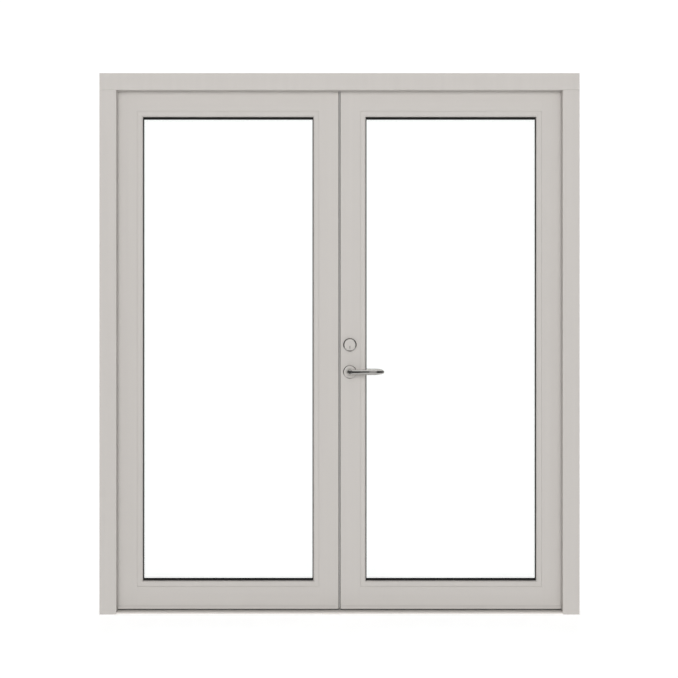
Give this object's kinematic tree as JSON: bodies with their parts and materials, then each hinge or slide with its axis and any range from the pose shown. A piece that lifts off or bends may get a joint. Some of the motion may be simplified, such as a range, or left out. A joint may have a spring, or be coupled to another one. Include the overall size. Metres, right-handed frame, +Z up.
{
  "type": "french doors",
  "caption": "Glazed french doors in a painted timber frame with a low threshold: hinged leaves opening inwards, lever handle with rod bolts, cylinder deadbolt and flush bolts.",
  "frame": {"origin": "on the floor under the middle of the doorway, in the mid-plane of the leaves", "axes": "+X to the right seen from outside, +Y inwards, the way the leaves open, +Z up"},
  "size_m": [1.88, 0.184, 2.12],
  "materials": {
    "painted_timber": "satin paint, light warm grey",
    "threshold_metal": "powder coat, light warm grey",
    "glazing": "clear float glass",
    "black_rubber": "matte black",
    "grey_rubber": "matte grey",
    "hinge_steel": "zinc-plated steel",
    "satin_metal": "satin stainless",
    "brass": "bare brass",
    "packer": "dark grey plastic"
  },
  "bodies": {
    "frame": {"left_jamb": "painted_timber", "right_jamb": "painted_timber", "head": "painted_timber", "stop_frame": "painted_timber", "threshold": "threshold_metal", "threshold_support": "packer", "head_keeps": "hinge_steel", "frame_gasket": "grey_rubber", "frame_fixing_sleeves": "hinge_steel", "hinge_frame_halves": "satin_metal"},
    "passive_leaf": {"passive_hinge_stile": "painted_timber", "passive_meeting_stile": "painted_timber", "passive_top_rail": "painted_timber", "passive_bottom_rail": "painted_timber", "passive_glazing_beads": "painted_timber", "passive_outer_pane": "glazing", "passive_inner_pane": "glazing", "passive_edge_spacer": "packer", "passive_glazing_gaskets": "black_rubber", "passive_setting_blocks": "packer", "passive_drip_bar": "threshold_metal", "passive_bottom_sweep": "black_rubber", "passive_meeting_seal": "grey_rubber", "passive_hinge_halves": "satin_metal", "flush_bolt_plates": "hinge_steel", "strike_plate": "hinge_steel"},
    "active_leaf": {"active_hinge_stile": "painted_timber", "active_meeting_stile": "painted_timber", "active_top_rail": "painted_timber", "active_bottom_rail": "painted_timber", "active_glazing_beads": "painted_timber", "active_outer_pane": "glazing", "active_inner_pane": "glazing", "active_edge_spacer": "packer", "active_glazing_gaskets": "black_rubber", "active_setting_blocks": "packer", "active_drip_bar": "threshold_metal", "active_bottom_sweep": "black_rubber", "active_meeting_seal": "grey_rubber", "active_hinge_halves": "satin_metal", "lock_faceplate": "hinge_steel", "lock_case": "hinge_steel", "outer_rose": "satin_metal", "inner_rose": "satin_metal", "cylinder_ring": "satin_metal", "cylinder_body": "satin_metal", "thumbturn_rose": "satin_metal"},
    "lever_set": {"outer_lever": "satin_metal", "inner_lever": "satin_metal", "spindle": "hinge_steel", "lock_follower": "hinge_steel"},
    "upper_rod": {"upper_bolt_rod": "hinge_steel"},
    "lower_rod": {"lower_bolt_rod": "hinge_steel"},
    "key_set": {"key_plug": "satin_metal", "tailpiece": "brass", "bolt_pinion": "hinge_steel", "thumbturn": "satin_metal"},
    "deadbolt": {"deadbolt": "hinge_steel"},
    "top_bolt": {"top_flush_bolt": "hinge_steel"},
    "bottom_bolt": {"bottom_flush_bolt": "hinge_steel"}
  },
  "joints": [
    {"name": "passive_swing", "type": "hinge", "parent": "frame", "child": "passive_leaf", "pos_m": [-0.886, 0.044, 1], "axis": [0, 0, 1], "range_deg": [0, 110]},
    {"name": "active_swing", "type": "hinge", "parent": "frame", "child": "active_leaf", "pos_m": [0.886, 0.044, 1], "axis": [0, 0, -1], "range_deg": [0, 110]},
    {"name": "lever_turn", "type": "hinge", "parent": "active_leaf", "child": "lever_set", "pos_m": [0.041, 0, 0.949], "axis": [0, 1, 0], "range_deg": [0, 90]},
    {"name": "upper_rod_slide", "type": "slide", "parent": "active_leaf", "child": "upper_rod", "axis": [0, 0, 1], "range_m": [0, 0.0141]},
    {"name": "lower_rod_slide", "type": "slide", "parent": "active_leaf", "child": "lower_rod", "axis": [0, 0, -1], "range_m": [0, 0.0141]},
    {"name": "key_turn", "type": "hinge", "parent": "active_leaf", "child": "key_set", "pos_m": [0.041, 0, 1.0465], "axis": [0, 1, 0], "range_deg": [0, 90]},
    {"name": "deadbolt_slide", "type": "slide", "parent": "active_leaf", "child": "deadbolt", "axis": [-1, 0, 0], "range_m": [0, 0.0201]},
    {"name": "top_bolt_slide", "type": "slide", "parent": "passive_leaf", "child": "top_bolt", "axis": [0, 0, 1], "range_m": [0, 0.013]},
    {"name": "bottom_bolt_slide", "type": "slide", "parent": "passive_leaf", "child": "bottom_bolt", "axis": [0, 0, -1], "range_m": [0, 0.013]}
  ],
  "couplings": [
    {"joint": "upper_rod_slide", "follows": "lever_turn", "m_per_rad": 0.0089127},
    {"joint": "lower_rod_slide", "follows": "lever_turn", "m_per_rad": 0.0089127},
    {"joint": "deadbolt_slide", "follows": "key_turn", "m_per_rad": 0.012732}
  ]
}
